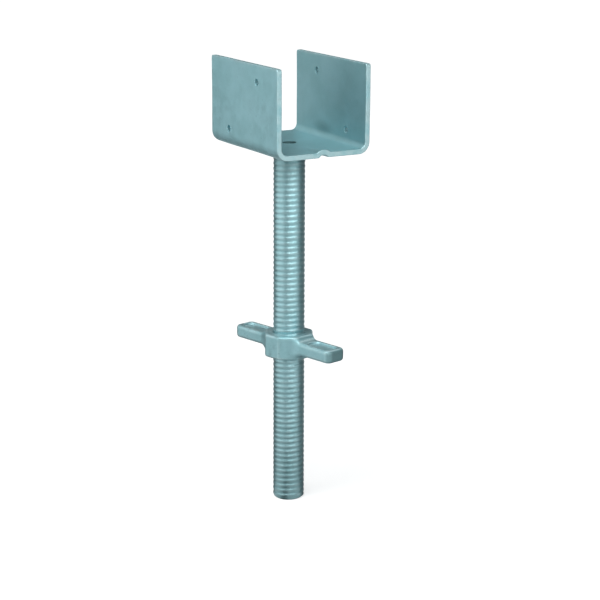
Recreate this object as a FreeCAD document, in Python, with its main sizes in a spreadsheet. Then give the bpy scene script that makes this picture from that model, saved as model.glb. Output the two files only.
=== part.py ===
"""U-head jack: a folded steel saddle welded on a threaded tube, with a cast wing nut that sets its height.

Millimetres, +Z up. The origin is the centre of the spindle's lower end, and the spindle stands on the Z axis.
The saddle's flanges stand at -X and +X, so a beam lies in it along Y.
The spindle and the nut's bore are plain at the thread's outside diameter.
"""
import FreeCAD, Part
import math
import os
import re
import Sketcher

DIMENSIONS = [
    # alias, value, what it is
    ("spindle_dia", 38.1, "outside diameter over the thread crests"),
    ("spindle_bore", 25.0, "inside diameter of the threaded tube"),
    ("spindle_length", 436.0, "lower end to the underside of the saddle"),
    ("spindle_chamfer", 2.5, "chamfer at the spindle's lower end"),
    ("thread_clearance", 0.08, "gap all round between the thread crests and the nut's bore"),
    ("saddle_width", 122.0, "outside, across the two flanges"),
    ("saddle_length", 162.0, "along the beam"),
    ("saddle_height", 104.0, "underside of the base to the top of the flanges"),
    ("plate_gauge", 6.0, "thickness of the saddle's plate"),
    ("bend_radius", 8.0, "inside radius of the two folds"),
    ("corner_radius", 3.0, "rounded top corners of the flanges"),
    ("drain_dia", 16.0, "drain hole in the base, over the spindle's bore"),
    ("bead_rise", 3.2, "height of the pressed bead at the edge of the base"),
    ("bead_radius", 20.0, "outside radius of the pressed bead"),
    ("bead_run", 45.0, "distance over which the bead fades into the base"),
    ("fixing_dia", 8.0, "fixing holes in the flanges"),
    ("fixing_low_offset", 37.0, "along the beam, a flange's lower fixing hole"),
    ("fixing_low_height", 22.0, "above the underside, the lower fixing hole"),
    ("fixing_high_offset", 32.0, "along the beam the other way, a flange's upper fixing hole"),
    ("fixing_high_height", 84.0, "above the underside, the upper fixing hole"),
    ("weld_leg", 6.0, "leg of the fillet weld under the saddle"),
    ("weld_crown", 0.8, "how far the weld's face bulges"),
    ("hub_flats", 57.0, "nut hub, across two opposite flats"),
    ("hub_height", 29.0, "nut hub, top to underside"),
    ("hub_round", 2.5, "rounded edges of the hub"),
    ("bore_chamfer", 2.0, "chamfer at both mouths of the nut's bore"),
    ("lug_span", 167.0, "over the tips of the two lugs"),
    ("lug_width", 29.0, "width of a lug"),
    ("lug_height", 15.8, "height of a lug"),
    ("lug_rise", 7.6, "underside of the lugs above the underside of the hub"),
    ("lug_tip_radius", 7.0, "rounded corners at a lug's tip, in plan"),
    ("lug_round", 2.5, "rounded long edges of the lugs"),
    ("recess_length", 38.0, "shallow recess on top of a lug"),
    ("recess_width", 16.0, "width of that recess"),
    ("recess_depth", 3.0, "depth of that recess"),
    ("recess_rim", 6.0, "outer end of the recess to the lug's tip"),
    ("nut_seat", 182.0, "underside of the nut above the spindle's lower end, as shown"),
    ("nut_turn", -76.4, "direction of one lug in plan, degrees from +X"),
]
SHEET_NAME = "dimensions"
HUB_SIDES = 8
LENGTH_TOLERANCE = 0.01
LEAST_CUT = 1.0  # cubic millimetres that a working pocket surely removes

doc = FreeCAD.newDocument("u_head_jack")
sheet = doc.addObject("Spreadsheet::Sheet", SHEET_NAME)
for row, (alias, value, meaning) in enumerate(DIMENSIONS, start=1):
    sheet.set(f"A{row}", meaning)
    sheet.set(f"B{row}", str(value))
    sheet.setAlias(f"B{row}", alias)
doc.recompute()


def size(alias):
    """The value of one driving dimension."""
    return float(sheet.get(alias))


def bind(target, path, expression):
    """Drive a property or a named constraint. An alias in the expression stands in angle brackets."""
    target.setExpression(path, re.sub(r"<(\w+)>", rf"{SHEET_NAME}.\1", expression))


def new_body(label):
    """A PartDesign body with the label that names its file."""
    body = doc.addObject("PartDesign::Body", label)
    body.Label = label
    return body


def origin_feature(body, role):
    """One of the body's own origin planes or axes."""
    return next(item for item in body.Origin.OriginFeatures if item.Role == role)


def new_sketch(body, name, plane, offset=None):
    """A sketch on one of the body's origin planes, moved along the plane's normal by an expression."""
    sketch = body.newObject("Sketcher::SketchObject", name)
    sketch.AttachmentSupport = [(origin_feature(body, plane), "")]
    sketch.MapMode = "FlatFace"
    if offset:
        bind(sketch, "AttachmentOffset.Base.z", offset)
    return sketch


def point(x, y):
    """A point in a sketch."""
    return FreeCAD.Vector(x, y, 0)


def add_line(sketch, start, end):
    """A straight edge between two sketch points."""
    return sketch.addGeometry(Part.LineSegment(point(*start), point(*end)))


def make_circle(centre, radius):
    """A full circle in a sketch's plane."""
    return Part.Circle(point(*centre), FreeCAD.Vector(0, 0, 1), radius)


def add_arc(sketch, centre, radius, first, last):
    """A circular arc, anticlockwise between two angles in degrees."""
    circle = make_circle(centre, radius)
    return sketch.addGeometry(Part.ArcOfCircle(circle, math.radians(first), math.radians(last)))


def constrain(sketch, *items):
    """Add one constraint."""
    return sketch.addConstraint(Sketcher.Constraint(*items))


def drive(sketch, name, expression, *items):
    """Add a named dimension and bind it to the sheet."""
    index = constrain(sketch, *items)
    sketch.renameConstraint(index, name)
    bind(sketch, f"Constraints.{name}", expression)


def close_polygon(sketch, corners):
    """Straight edges round a list of corners, joined end to end."""
    lines = [add_line(sketch, start, end) for start, end in zip(corners, corners[1:] + corners[:1])]
    for line, following in zip(lines, lines[1:] + lines[:1]):
        constrain(sketch, "Coincident", line, 2, following, 1)
    return lines


def add_centred_circle(sketch, diameter, expression):
    """A driven circle round the sketch's origin."""
    circle = sketch.addGeometry(make_circle((0, 0), diameter / 2))
    constrain(sketch, "Coincident", circle, 3, -1, 1)
    drive(sketch, "diameter", expression, "Diameter", circle, diameter)
    return circle


def add_feature(body, kind, name, profile):
    """A PartDesign feature made from a sketch."""
    feature = body.newObject(f"PartDesign::{kind}", name)
    feature.Profile = profile
    return feature


def require_cut(feature, before):
    """A pocket that points the wrong way removes nothing and shows no error, so volumes are compared."""
    doc.recompute()
    if feature.Shape.Volume > before.Shape.Volume - LEAST_CUT:
        raise RuntimeError(f"{feature.Name} cut nothing")


def add_pattern(body, kind, name, originals, role_property, role, occurrences=None):
    """A mirror or a polar pattern of features about one of the body's origin planes or axes."""
    pattern = body.newObject(f"PartDesign::{kind}", name)
    pattern.Originals = originals
    setattr(pattern, role_property, (origin_feature(body, role), [""]))
    if occurrences:
        pattern.Occurrences = occurrences
    body.Tip = pattern
    doc.recompute()
    return pattern


def dress_edges(body, kind, name, base, wanted, alias):
    """A fillet or chamfer on the edges of a feature that pass a test."""
    doc.recompute()
    edges = [f"Edge{index}" for index, edge in enumerate(base.Shape.Edges, start=1) if wanted(edge)]
    if not edges:
        raise RuntimeError(f"no edge for {name}")
    feature = body.newObject(f"PartDesign::{kind}", name)
    feature.Base = (base, edges)
    bind(feature, "Radius" if kind == "Fillet" else "Size", f"<{alias}>")
    doc.recompute()
    return feature


def same(length, other):
    """Are two lengths the same?"""
    return abs(length - other) < LENGTH_TOLERANCE


def saddle_profile(body):
    """The folded plate's section across the flanges."""
    half = size("saddle_width") / 2
    gauge = size("plate_gauge")
    inner = size("bend_radius")
    outer = inner + gauge
    low = size("spindle_length")
    top = low + size("saddle_height")
    bend = low + outer
    sketch = new_sketch(body, "saddle_profile", "XZ_Plane")
    outer_left = add_line(sketch, (-half, top), (-half, bend))
    fold_left = add_arc(sketch, (outer - half, bend), outer, 180, 270)
    underside = add_line(sketch, (outer - half, low), (half - outer, low))
    fold_right = add_arc(sketch, (half - outer, bend), outer, 270, 360)
    outer_right = add_line(sketch, (half, bend), (half, top))
    tip_right = add_line(sketch, (half, top), (half - gauge, top))
    inner_right = add_line(sketch, (half - gauge, top), (half - gauge, bend))
    inside_right = add_arc(sketch, (half - outer, bend), inner, 270, 360)
    floor = add_line(sketch, (half - outer, low + gauge), (outer - half, low + gauge))
    inside_left = add_arc(sketch, (outer - half, bend), inner, 180, 270)
    inner_left = add_line(sketch, (gauge - half, bend), (gauge - half, top))
    tip_left = add_line(sketch, (gauge - half, top), (-half, top))
    for first, first_end, second, second_end in (
        (outer_left, 2, fold_left, 1),
        (fold_left, 2, underside, 1),
        (underside, 2, fold_right, 1),
        (fold_right, 2, outer_right, 1),
        (inner_right, 2, inside_right, 2),
        (inside_right, 1, floor, 1),
        (floor, 2, inside_left, 2),
        (inside_left, 1, inner_left, 1),
    ):
        constrain(sketch, "Tangent", first, first_end, second, second_end)
    for first, second in (
        (outer_right, tip_right),
        (tip_right, inner_right),
        (inner_left, tip_left),
        (tip_left, outer_left),
    ):
        constrain(sketch, "Coincident", first, 2, second, 1)
    constrain(sketch, "Coincident", fold_left, 3, inside_left, 3)
    constrain(sketch, "Coincident", fold_right, 3, inside_right, 3)
    for line in (outer_left, outer_right):
        constrain(sketch, "Vertical", line)
    for line in (underside, tip_left, tip_right):
        constrain(sketch, "Horizontal", line)
    constrain(sketch, "Symmetric", outer_left, 1, outer_right, 2, -2)
    constrain(sketch, "Equal", tip_left, tip_right)
    constrain(sketch, "Equal", inside_left, inside_right)
    drive(sketch, "width", "<saddle_width>", "DistanceX", outer_left, 1, outer_right, 2, 2 * half)
    drive(sketch, "gauge", "<plate_gauge>", "DistanceX", outer_left, 1, inner_left, 2, gauge)
    drive(sketch, "fold", "<bend_radius>", "Radius", inside_left, inner)
    drive(sketch, "height", "<saddle_height>", "DistanceY", underside, 1, outer_left, 1, top - low)
    drive(sketch, "base", "<spindle_length>", "DistanceY", -1, 1, underside, 1, low)
    return sketch


def bead_section(body, name, radius, radius_cell, crest, crest_cell, chord, chord_cell):
    """A round-topped section on the saddle's front edge: an arc over a flat chord."""
    sketch = new_sketch(body, name, "XZ_Plane", "<saddle_length> / 2")
    centre = crest - radius
    half = math.sqrt(radius ** 2 - (chord - centre) ** 2)
    angle = math.degrees(math.asin((chord - centre) / radius))
    arc = add_arc(sketch, (0, centre), radius, angle, 180 - angle)
    line = add_line(sketch, (-half, chord), (half, chord))
    constrain(sketch, "Coincident", arc, 2, line, 1)
    constrain(sketch, "Coincident", line, 2, arc, 1)
    constrain(sketch, "Horizontal", line)
    constrain(sketch, "PointOnObject", arc, 3, -2)
    drive(sketch, "radius", radius_cell, "Radius", arc, radius)
    drive(sketch, "centre", f"{crest_cell} - ({radius_cell})", "DistanceY", -1, 1, arc, 3, centre)
    drive(sketch, "chord", chord_cell, "DistanceY", -1, 1, line, 1, chord)
    return sketch


def along_bead(feature):
    """Carry a bead's section inwards and down, so that the bead fades into the base."""
    feature.UseCustomVector = True
    feature.AlongSketchNormal = False
    feature.Direction = FreeCAD.Vector(0, size("bead_run"), -size("bead_rise"))
    bind(feature, "Length", "sqrt(<bead_run>^2 + <bead_rise>^2)")


def press_beads(body):
    """Two stiffening beads on the base's middle line, pressed up from below at both open ends."""
    low = size("spindle_length")
    gauge = size("plate_gauge")
    rise = size("bead_rise")
    radius = size("bead_radius")
    crest_profile = bead_section(
        body, "bead_crest_section",
        radius, "<bead_radius>",
        low + gauge + rise, "<spindle_length> + <plate_gauge> + <bead_rise>",
        low + (gauge + rise) / 2, "<spindle_length> + (<plate_gauge> + <bead_rise>) / 2",
    )
    crest = add_feature(body, "Pad", "bead_crest", crest_profile)
    along_bead(crest)
    doc.recompute()
    hollow_profile = bead_section(
        body, "bead_hollow_section",
        radius - gauge, "<bead_radius> - <plate_gauge>",
        low + rise, "<spindle_length> + <bead_rise>",
        low - gauge / 2, "<spindle_length> - <plate_gauge> / 2",
    )
    hollow = add_feature(body, "Pocket", "bead_hollow", hollow_profile)
    along_bead(hollow)
    require_cut(hollow, crest)
    return add_pattern(body, "Mirrored", "both_beads", [crest, hollow], "MirrorPlane", "XZ_Plane")


def pierce_flanges(body, base):
    """Two staggered fixing holes in each flange. The flanges match when the saddle is turned half round."""
    sketch = new_sketch(body, "fixing_holes_plan", "YZ_Plane")
    diameter = size("fixing_dia")
    for name, side, sign in (("low", 1, ""), ("high", -1, "-")):
        along = side * size(f"fixing_{name}_offset")
        above = size("spindle_length") + size(f"fixing_{name}_height")
        above_cell = f"<spindle_length> + <fixing_{name}_height>"
        hole = sketch.addGeometry(make_circle((along, above), diameter / 2))
        drive(sketch, f"{name}_dia", "<fixing_dia>", "Diameter", hole, diameter)
        drive(sketch, f"{name}_along", f"{sign}<fixing_{name}_offset>", "DistanceX", -1, 1, hole, 3, along)
        drive(sketch, f"{name}_above", above_cell, "DistanceY", -1, 1, hole, 3, above)
    holes = add_feature(body, "Pocket", "fixing_holes", sketch)
    holes.Type = "ThroughAll"
    require_cut(holes, base)
    return add_pattern(body, "PolarPattern", "both_flanges_pierced", [holes], "Axis", "Z_Axis", 2)


def make_u_head():
    """The saddle: a folded plate with pressed beads, fixing holes and a drain hole."""
    body = new_body("u_head")
    gauge = size("plate_gauge")
    top = size("spindle_length") + size("saddle_height")
    plate = add_feature(body, "Pad", "folded_plate", saddle_profile(body))
    plate.SideType = "Symmetric"
    bind(plate, "Length", "<saddle_length>")

    def flange_corner(edge):
        box = edge.BoundBox
        return same(box.ZMin, top) and same(box.YLength, 0) and same(box.XLength, gauge)

    dress_edges(body, "Fillet", "flange_corners", plate, flange_corner, "corner_radius")
    beaded = press_beads(body)
    pierced = pierce_flanges(body, beaded)
    drain_plan = new_sketch(body, "drain_plan", "XY_Plane")
    add_centred_circle(drain_plan, size("drain_dia"), "<drain_dia>")
    drain = add_feature(body, "Pocket", "drain_hole", drain_plan)
    drain.Type = "ThroughAll"
    drain.Reversed = True
    require_cut(drain, pierced)
    return body


def make_spindle():
    """The threaded tube, plain at its outside diameter, chamfered at its lower end."""
    body = new_body("spindle")
    bore = size("spindle_bore") / 2
    outside = size("spindle_dia") / 2
    length = size("spindle_length")
    chamfer = size("spindle_chamfer")
    sketch = new_sketch(body, "spindle_section", "XZ_Plane")
    corners = [(bore, 0), (outside - chamfer, 0), (outside, chamfer), (outside, length), (bore, length)]
    foot, slant, wall, head, inside = close_polygon(sketch, corners)
    for line in (foot, head):
        constrain(sketch, "Horizontal", line)
    for line in (wall, inside):
        constrain(sketch, "Vertical", line)
    constrain(sketch, "PointOnObject", foot, 1, -1)
    drive(sketch, "bore", "<spindle_bore> / 2", "DistanceX", -1, 1, foot, 1, bore)
    drive(sketch, "outside", "<spindle_dia> / 2", "DistanceX", -1, 1, wall, 1, outside)
    drive(sketch, "length", "<spindle_length>", "DistanceY", -1, 1, head, 1, length)
    drive(sketch, "chamfer_in", "<spindle_chamfer>", "DistanceX", slant, 1, slant, 2, chamfer)
    drive(sketch, "chamfer_up", "<spindle_chamfer>", "DistanceY", slant, 1, slant, 2, chamfer)
    tube = add_feature(body, "Revolution", "tube", sketch)
    tube.ReferenceAxis = (sketch, ["V_Axis"])
    return body


def make_weld_bead():
    """The fillet weld round the spindle's upper end, against the saddle's underside."""
    body = new_body("weld_bead")
    outside = size("spindle_dia") / 2
    top = size("spindle_length")
    leg = size("weld_leg")
    crown = size("weld_crown")
    half_chord = leg / math.sqrt(2)
    radius = (half_chord ** 2 + crown ** 2) / (2 * crown)
    middle = (outside + leg / 2, top - leg / 2)
    inset = (radius - crown) / math.sqrt(2)
    centre = (middle[0] - inset, middle[1] + inset)
    sweep = math.degrees(math.asin(half_chord / radius))
    sketch = new_sketch(body, "weld_section", "XZ_Plane")
    face = add_arc(sketch, centre, radius, -45 - sweep, -45 + sweep)
    under_plate = add_line(sketch, (outside + leg, top), (outside, top))
    on_tube = add_line(sketch, (outside, top), (outside, top - leg))
    constrain(sketch, "Coincident", face, 2, under_plate, 1)
    constrain(sketch, "Coincident", under_plate, 2, on_tube, 1)
    constrain(sketch, "Coincident", on_tube, 2, face, 1)
    constrain(sketch, "Horizontal", under_plate)
    constrain(sketch, "Vertical", on_tube)
    drive(sketch, "tube", "<spindle_dia> / 2", "DistanceX", -1, 1, on_tube, 1, outside)
    drive(sketch, "plate", "<spindle_length>", "DistanceY", -1, 1, on_tube, 1, top)
    drive(sketch, "leg_out", "<weld_leg>", "DistanceX", under_plate, 2, under_plate, 1, leg)
    drive(sketch, "leg_down", "<weld_leg>", "DistanceY", on_tube, 2, on_tube, 1, leg)
    face_cell = "(<weld_leg>^2 / 2 + <weld_crown>^2) / (2 * <weld_crown>)"
    drive(sketch, "face", face_cell, "Radius", face, radius)
    ring = add_feature(body, "Revolution", "weld_ring", sketch)
    ring.ReferenceAxis = (sketch, ["V_Axis"])
    return body


def hub_plan(body):
    """The hub's outline: a regular octagon with two flats along the lugs."""
    radius = size("hub_flats") / 2 / math.cos(math.pi / HUB_SIDES)
    angles = [math.pi / HUB_SIDES * (2 * index + 1) for index in range(HUB_SIDES)]
    corners = [(radius * math.cos(angle), radius * math.sin(angle)) for angle in angles]
    sketch = new_sketch(body, "hub_plan", "XY_Plane")
    sides = close_polygon(sketch, corners)
    guide = add_centred_circle(sketch, 2 * radius, f"<hub_flats> / cos(180 deg / {HUB_SIDES})")
    sketch.setConstruction(guide, True)
    for side in sides:
        constrain(sketch, "PointOnObject", side, 1, guide)
    for side in sides[1:]:
        constrain(sketch, "Equal", sides[0], side)
    constrain(sketch, "Vertical", sides[-1])
    return sketch


def lug_plan(body):
    """Both lugs' outline as one bar across the hub, with rounded corners at its tips."""
    half = size("lug_span") / 2
    side = size("lug_width") / 2
    radius = size("lug_tip_radius")
    sketch = new_sketch(body, "lug_plan", "XY_Plane", "<lug_rise>")
    front = add_line(sketch, (radius - half, -side), (half - radius, -side))
    front_right = add_arc(sketch, (half - radius, radius - side), radius, 270, 360)
    right = add_line(sketch, (half, radius - side), (half, side - radius))
    back_right = add_arc(sketch, (half - radius, side - radius), radius, 0, 90)
    back = add_line(sketch, (half - radius, side), (radius - half, side))
    back_left = add_arc(sketch, (radius - half, side - radius), radius, 90, 180)
    left = add_line(sketch, (-half, side - radius), (-half, radius - side))
    front_left = add_arc(sketch, (radius - half, radius - side), radius, 180, 270)
    outline = [front, front_right, right, back_right, back, back_left, left, front_left]
    for edge, following in zip(outline, outline[1:] + outline[:1]):
        constrain(sketch, "Tangent", edge, 2, following, 1)
    constrain(sketch, "Horizontal", front)
    constrain(sketch, "Vertical", right)
    for arc in (back_right, back_left, front_left):
        constrain(sketch, "Equal", front_right, arc)
    constrain(sketch, "Symmetric", front_right, 3, back_left, 3, -1, 1)
    drive(sketch, "tip", "<lug_tip_radius>", "Radius", front_right, radius)
    tip_cell = "<lug_span> - 2 * <lug_tip_radius>"
    drive(sketch, "span", tip_cell, "DistanceX", back_left, 3, front_right, 3, 2 * (half - radius))
    side_cell = "<lug_width> - 2 * <lug_tip_radius>"
    drive(sketch, "width", side_cell, "DistanceY", front_right, 3, back_left, 3, 2 * (side - radius))
    return sketch


def recess_plan(body):
    """The shallow round-ended recess on top of one lug."""
    radius = size("recess_width") / 2
    outer = size("lug_span") / 2 - size("recess_rim") - radius
    inner = outer - size("recess_length") + 2 * radius
    sketch = new_sketch(body, "recess_plan", "XY_Plane", "<lug_rise> + <lug_height>")
    front = add_line(sketch, (inner, -radius), (outer, -radius))
    tip = add_arc(sketch, (outer, 0), radius, 270, 450)
    back = add_line(sketch, (outer, radius), (inner, radius))
    root = add_arc(sketch, (inner, 0), radius, 90, 270)
    outline = [front, tip, back, root]
    for edge, following in zip(outline, outline[1:] + outline[:1]):
        constrain(sketch, "Tangent", edge, 2, following, 1)
    constrain(sketch, "Horizontal", front)
    constrain(sketch, "PointOnObject", tip, 3, -1)
    drive(sketch, "width", "<recess_width> / 2", "Radius", tip, radius)
    tip_cell = "<lug_span> / 2 - <recess_rim> - <recess_width> / 2"
    drive(sketch, "tip", tip_cell, "DistanceX", -1, 1, tip, 3, outer)
    run_cell = "<recess_length> - <recess_width>"
    drive(sketch, "run", run_cell, "DistanceX", root, 3, tip, 3, outer - inner)
    return sketch


def make_wing_nut():
    """The cast nut: an eight-sided hub, two opposite lugs with a recess on top, and a bore."""
    body = new_body("wing_nut")
    height = size("hub_height")
    hub = add_feature(body, "Pad", "hub", hub_plan(body))
    bind(hub, "Length", "<hub_height>")
    dress_edges(body, "Fillet", "hub_edges", hub, lambda edge: True, "hub_round")
    lugs = add_feature(body, "Pad", "lugs", lug_plan(body))
    bind(lugs, "Length", "<lug_height>")
    doc.recompute()
    levels = (size("lug_rise"), size("lug_rise") + size("lug_height"))
    hub_reach = size("hub_flats") / 2

    def lug_rim(edge):
        box = edge.BoundBox
        level = same(box.ZLength, 0) and any(same(box.ZMin, value) for value in levels)
        beyond = max(abs(box.XMin), abs(box.XMax)) > hub_reach + size("lug_tip_radius")
        return level and beyond

    rounded = dress_edges(body, "Fillet", "lug_edges", lugs, lug_rim, "lug_round")
    recess = add_feature(body, "Pocket", "recess", recess_plan(body))
    bind(recess, "Length", "<recess_depth>")
    require_cut(recess, rounded)
    recesses = add_pattern(body, "PolarPattern", "both_recesses", [recess], "Axis", "Z_Axis", 2)
    bore_plan = new_sketch(body, "bore_plan", "XY_Plane")
    bore_dia = size("spindle_dia") + 2 * size("thread_clearance")
    add_centred_circle(bore_plan, bore_dia, "<spindle_dia> + 2 * <thread_clearance>")
    bore = add_feature(body, "Pocket", "bore", bore_plan)
    bore.Type = "ThroughAll"
    bore.Reversed = True
    require_cut(bore, recesses)

    def bore_mouth(edge):
        box = edge.BoundBox
        ring = same(box.ZLength, 0) and same(box.XLength, bore_dia) and same(box.YLength, bore_dia)
        return ring and (same(box.ZMin, 0) or same(box.ZMin, height))

    dress_edges(body, "Chamfer", "bore_mouths", bore, bore_mouth, "bore_chamfer")
    bind(body, "Placement.Base.z", "<nut_seat>")
    bind(body, "Placement.Rotation.Angle", "<nut_turn>")
    return body


def check_document(bodies):
    """Stop if any object failed to build or any sub-part isn't one valid solid."""
    for item in doc.Objects:
        if "Invalid" in item.State or "Error" in item.State:
            raise RuntimeError(f"{item.Name} failed: {item.State}")
    for body in bodies:
        shape = body.Shape
        if shape.isNull() or not shape.isValid() or len(shape.Solids) != 1:
            raise RuntimeError(f"{body.Label} isn't one valid solid")


def main():
    """Build every sub-part, check the document and write one STEP file for each."""
    bodies = [make_u_head(), make_spindle(), make_weld_bead(), make_wing_nut()]
    doc.recompute()
    check_document(bodies)
    os.makedirs("parts", exist_ok=True)
    for body in bodies:
        body.Shape.exportStep(f"parts/{body.Label}.step")
        box = body.Shape.BoundBox
        low = (round(box.XMin, 2), round(box.YMin, 2), round(box.ZMin, 2))
        high = (round(box.XMax, 2), round(box.YMax, 2), round(box.ZMax, 2))
        print(body.Label, round(body.Shape.Volume, 1), low, high)


main()
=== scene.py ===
"""Builds a u-head jack: a folded saddle, a threaded spindle, the weld between them and a wing nut.

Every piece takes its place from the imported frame. Sizes are in metres and lamps in watts.
"""
import math
from functools import partial
from itertools import product
from typing import NamedTuple

import bmesh
import bpy
import numpy as np
from bpy.props import FloatProperty, FloatVectorProperty, IntProperty, PointerProperty
from mathutils import Matrix, Vector


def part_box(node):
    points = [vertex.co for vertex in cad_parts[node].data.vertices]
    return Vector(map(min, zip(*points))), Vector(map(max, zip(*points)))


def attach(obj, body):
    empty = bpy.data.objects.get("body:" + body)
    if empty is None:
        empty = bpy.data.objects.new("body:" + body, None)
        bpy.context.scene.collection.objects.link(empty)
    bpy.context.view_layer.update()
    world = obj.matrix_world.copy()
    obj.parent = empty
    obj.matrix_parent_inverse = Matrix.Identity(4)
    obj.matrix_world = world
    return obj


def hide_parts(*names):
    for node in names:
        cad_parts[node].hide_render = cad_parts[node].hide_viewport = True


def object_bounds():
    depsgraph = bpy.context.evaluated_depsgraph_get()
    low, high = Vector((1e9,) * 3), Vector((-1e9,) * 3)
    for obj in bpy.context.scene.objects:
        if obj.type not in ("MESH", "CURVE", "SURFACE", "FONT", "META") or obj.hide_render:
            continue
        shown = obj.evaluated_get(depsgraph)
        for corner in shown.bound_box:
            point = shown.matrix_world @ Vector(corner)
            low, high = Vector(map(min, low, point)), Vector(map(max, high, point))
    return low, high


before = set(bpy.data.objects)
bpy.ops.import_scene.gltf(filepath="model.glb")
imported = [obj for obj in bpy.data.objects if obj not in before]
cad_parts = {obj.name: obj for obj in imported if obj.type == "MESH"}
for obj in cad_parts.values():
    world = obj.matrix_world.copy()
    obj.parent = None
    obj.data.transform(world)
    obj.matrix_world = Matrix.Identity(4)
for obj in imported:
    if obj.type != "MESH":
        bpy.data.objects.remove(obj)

bl_info = {
    "name": "U-head jack",
    "version": (1, 0, 0),
    "blender": (4, 5, 0),
    "location": "View3D > Sidebar > U-head jack",
    "description": "Builds the saddle, threaded spindle, weld and wing nut of a u-head jack",
    "category": "Add Mesh",
}

MM = 0.001
TURN = 2 * math.pi
SLANT = math.sqrt(0.5)
CAD_BOX = [[float(value) for value in corner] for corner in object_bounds()]
SADDLE_LOW, SADDLE_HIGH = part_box("u_head")
SPINDLE_LOW, SPINDLE_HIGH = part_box("spindle")
WELD_LOW, WELD_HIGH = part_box("weld_bead")
NUT_LOW, NUT_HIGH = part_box("wing_nut")
NUT_HEIGHT = NUT_HIGH.z - NUT_LOW.z


# Settings

def length(name, description, size):
    """A size, given in millimetres and kept in metres."""
    return FloatProperty(name=name, description=description, default=size * MM, unit="LENGTH", precision=4)


def angle(name, description, degrees):
    """An angle, given in degrees and kept in radians."""
    return FloatProperty(name=name, description=description, default=math.radians(degrees), subtype="ANGLE")


def share(name, description, default):
    """A plain number from 0 to 1."""
    return FloatProperty(
        name=name, description=description, default=default, min=0.0, max=1.0, subtype="FACTOR"
    )


def colour(name, description, default):
    """A linear colour."""
    return FloatVectorProperty(
        name=name, description=description, default=default, size=3, min=0.0, max=1.0, subtype="COLOR"
    )


class SaddleSettings(bpy.types.PropertyGroup):
    """Sizes of the folded saddle."""
    width: length("Width", "Width over the flanges", (SADDLE_HIGH.x - SADDLE_LOW.x) / MM)
    run: length("Length", "Length along the beam", (SADDLE_HIGH.y - SADDLE_LOW.y) / MM)
    height: length("Height", "Height over the flanges", (SADDLE_HIGH.z - SADDLE_LOW.z) / MM)
    gauge: length("Gauge", "Thickness of the plate", 6.0)
    bend: length("Bend radius", "Inside radius of the folds", 8.0)
    corner: length("Corner radius", "Radius of the flanges' corners", 3.0)
    rim: length("Rim rounding", "Radius worn on to the sheared edges", 0.8)
    hole_rim: length("Hole rounding", "Radius on the rims of the holes", 0.5)
    drain: length("Drain radius", "Radius of the hole over the bore", 8.0)
    fixing: length("Fixing radius", "Radius of the holes in the flanges", 4.0)
    low_offset: length("Low hole offset", "Lower hole's distance from the middle", 37.0)
    low_height: length("Low hole height", "Lower hole's height over the underside", 22.0)
    high_offset: length("High hole offset", "Upper hole's distance from the middle", 32.0)
    high_height: length("High hole height", "Upper hole's height over the underside", 84.0)
    bead_rise: length("Bead rise", "Height of the bead at the open end", 3.5)
    bead_radius: length("Bead radius", "Outside radius of the bead", 13.0)
    bead_blend: length("Bead blend", "Blend width between bead and base", 1.6)
    bead_run: length("Bead run", "Length over which the bead fades", 45.0)
    ripple: length("Plate ripple", "Height of the plate's slight waves", 0.12)
    # This setting paints shade: a slight darkening of all the inside faces.
    inside_shade: share("Inside dirt", "Dirt that the beams leave on the inside", 0.12)
    # The next five settings make a soft dark patch at the foot of the right flange.
    stain: share("Darkening", "Depth of the stain at the right flange's foot", 0.62)
    stain_rise: length("Stain rise", "Height of the stain's middle over the fold", 3.0)
    stain_offset: length("Stain offset", "Stain's distance behind the middle", 15.0)
    stain_height: length("Stain height", "Height over which the stain fades", 9.0)
    stain_run: length("Stain length", "Length over which the stain fades", 22.0)
    step: length("Mesh step", "Widest cell of the plate's mesh", 3.0)


class SpindleSettings(bpy.types.PropertyGroup):
    """Sizes of the threaded spindle."""
    crest: length("Crest radius", "Radius over the thread", SPINDLE_HIGH.x / MM)
    depth: length("Thread depth", "Depth of the rolled thread", 0.55)
    pitch: length("Pitch", "Travel of one turn", 6.35)
    start: length("Thread start", "Height of a crest on the +X side", 1.93)
    bore: length("Bore radius", "Radius of the bore", 12.5)
    chamfer: length("End chamfer", "Chamfer on the lower end", 2.5)
    bore_chamfer: length("Bore chamfer", "Chamfer on the bore's mouth", 0.8)
    # These two darken the spindle: painted shade fading down from the weld, and a darker band just above the
    # lower end.
    upper_grime: length("Upper grime", "Height over which dirt fades below the weld", 60.0)
    lower_grime: length("Lower grime", "Height over which dirt fades above the lower end", 7.0)
    runout: length("Thread run-out", "Height over which the thread fades out", 2.0)
    squareness: FloatProperty(
        name="Squareness", description="How flat the crests and roots are", default=1.0, min=0.1, max=6.0
    )
    sides: IntProperty(name="Sides", description="Mesh steps around the spindle", default=72, min=12)
    rows: IntProperty(name="Rows", description="Mesh steps in one pitch", default=14, min=6)


class WeldSettings(bpy.types.PropertyGroup):
    """Sizes of the weld between spindle and saddle."""
    leg: length("Leg", "Width on the plate and on the spindle", (WELD_HIGH.z - WELD_LOW.z) / MM)
    crown: length("Crown", "Bulge over a straight slope", 0.8)
    scale: length("Ripple height", "Height of the weld's ripples", 0.3)
    wander: length("Wander", "Unevenness of the weld's width", 0.6)
    ripples: IntProperty(name="Ripples", description="Ripples around the weld", default=46, min=8)


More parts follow.
